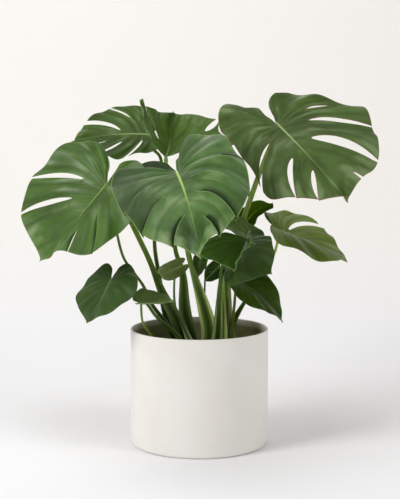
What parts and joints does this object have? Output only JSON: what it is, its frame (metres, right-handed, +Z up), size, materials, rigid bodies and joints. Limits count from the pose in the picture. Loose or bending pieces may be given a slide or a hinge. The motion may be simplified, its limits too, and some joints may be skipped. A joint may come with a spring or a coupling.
{
  "type": "potted monstera plant",
  "caption": "Monstera with large cut leaves and small heart-shaped leaves on long leaf stalks, rising from soil in a plain white cylinder pot.",
  "frame": {"origin": "centre of the pot's flat base, on the floor", "axes": "+Z up the pot's axis, -Y towards the plant's front, +X to the right when it is seen from the front"},
  "size_m": [0.6605, 0.5118, 0.662],
  "materials": {
    "pot": "matte",
    "soil": "matte",
    "light_blade": "satin",
    "mid_blade": "satin",
    "dark_blade": "satin",
    "olive_blade": "satin",
    "light_stalk": "satin",
    "dark_stalk": "satin"
  },
  "bodies": {
    "root": {"pot": "pot", "soil": "soil", "blade_left": "light_blade", "stalk_left": "light_stalk", "blade_front": "light_blade", "stalk_front": "light_stalk", "blade_right": "mid_blade", "stalk_right": "light_stalk", "blade_back_left": "mid_blade", "stalk_back_left": "dark_stalk", "blade_back": "mid_blade", "stalk_back": "dark_stalk", "blade_low_left": "dark_blade", "stalk_low_left": "dark_stalk", "blade_low_front": "olive_blade", "stalk_low_front": "light_stalk", "blade_olive": "olive_blade", "stalk_olive": "dark_stalk", "blade_heart": "dark_blade", "stalk_heart": "dark_stalk", "blade_dark": "dark_blade", "stalk_dark": "light_stalk", "blade_low_right": "dark_blade", "stalk_low_right": "light_stalk", "blade_round": "dark_blade", "stalk_round": "dark_stalk", "blade_far_right": "olive_blade", "stalk_far_right": "dark_stalk", "blade_upper": "dark_blade", "stalk_upper": "dark_stalk", "blade_hidden_left": "mid_blade", "stalk_hidden_left": "dark_stalk", "blade_small_middle": "dark_blade", "stalk_small_middle": "dark_stalk", "blade_small_back": "dark_blade", "stalk_small_back": "dark_stalk"}
  },
  "joints": []
}
